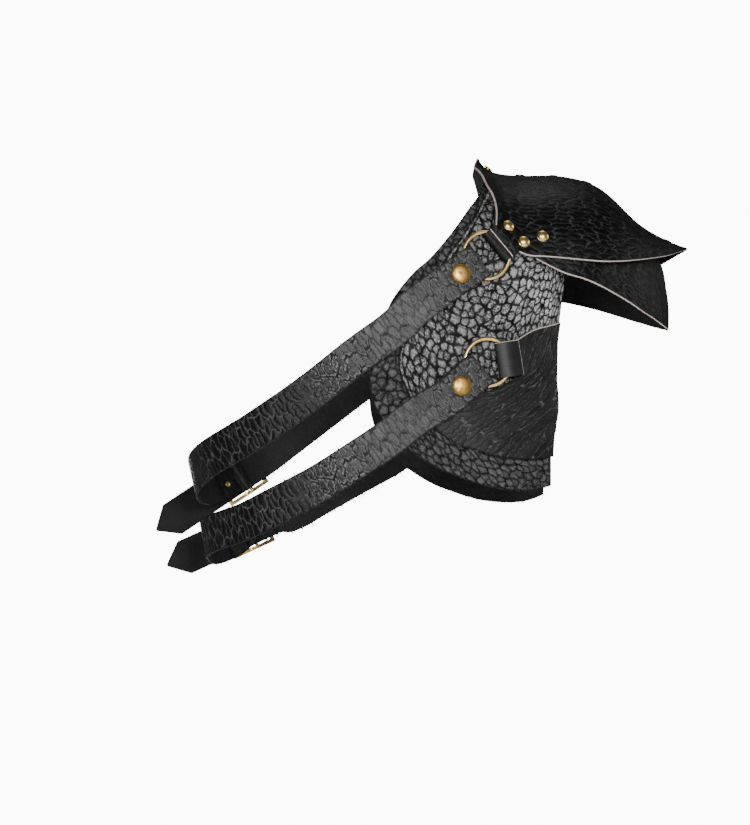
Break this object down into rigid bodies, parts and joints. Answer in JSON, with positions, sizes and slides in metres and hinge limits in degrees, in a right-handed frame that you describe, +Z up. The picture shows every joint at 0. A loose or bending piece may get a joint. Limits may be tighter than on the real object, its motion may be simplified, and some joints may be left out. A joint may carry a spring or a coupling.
{
  "type": "leather shoulder pauldron",
  "caption": "Leather guard of layered plates for one shoulder, with rings, straps round the torso, buckles, rivets and eyelets.",
  "frame": {"origin": "top of the guarded shoulder, under the leather, where the guard sits", "axes": "+X outward past the guarded shoulder, +Y to the wearer's front, +Z up"},
  "size_m": [0.5659, 0.2725, 0.4395],
  "materials": {
    "plate_leather": "pebbled black, semi-gloss, with pale raw edges",
    "strap_leather": "grained black, with a smooth flesh side and frayed edges",
    "brass": "polished",
    "antique_brass": "antique, worn bright at the rim"
  },
  "bodies": {
    "root": {"base_plate": "plate_leather", "main_plate": "plate_leather", "lower_panel_back": "plate_leather", "lower_panel_front": "plate_leather", "top_plate": "plate_leather", "under_plate": "plate_leather", "strap_upper_back": "strap_leather", "strap_upper_front": "strap_leather", "strap_lower_back": "strap_leather", "strap_lower_front": "strap_leather", "ring_upper_back": "brass", "ring_upper_front": "brass", "ring_lower_back": "brass", "ring_lower_front": "brass", "buckle_upper": "brass", "buckle_lower": "brass", "buckle_rivet_upper": "brass", "buckle_rivet_lower": "brass", "dome_inner_back": "brass", "dome_inner_front": "brass", "dome_middle_back": "brass", "dome_middle_front": "brass", "dome_outer_back": "brass", "dome_outer_front": "brass", "eyelet_1": "brass", "eyelet_2": "brass", "eyelet_3": "brass", "eyelet_4": "brass", "eyelet_5": "brass", "eyelet_6": "brass", "eyelet_7": "brass", "cap_rivet_upper_back": "antique_brass", "cap_rivet_upper_front": "antique_brass", "cap_rivet_lower_back": "antique_brass", "cap_rivet_lower_front": "antique_brass"}
  },
  "joints": []
}
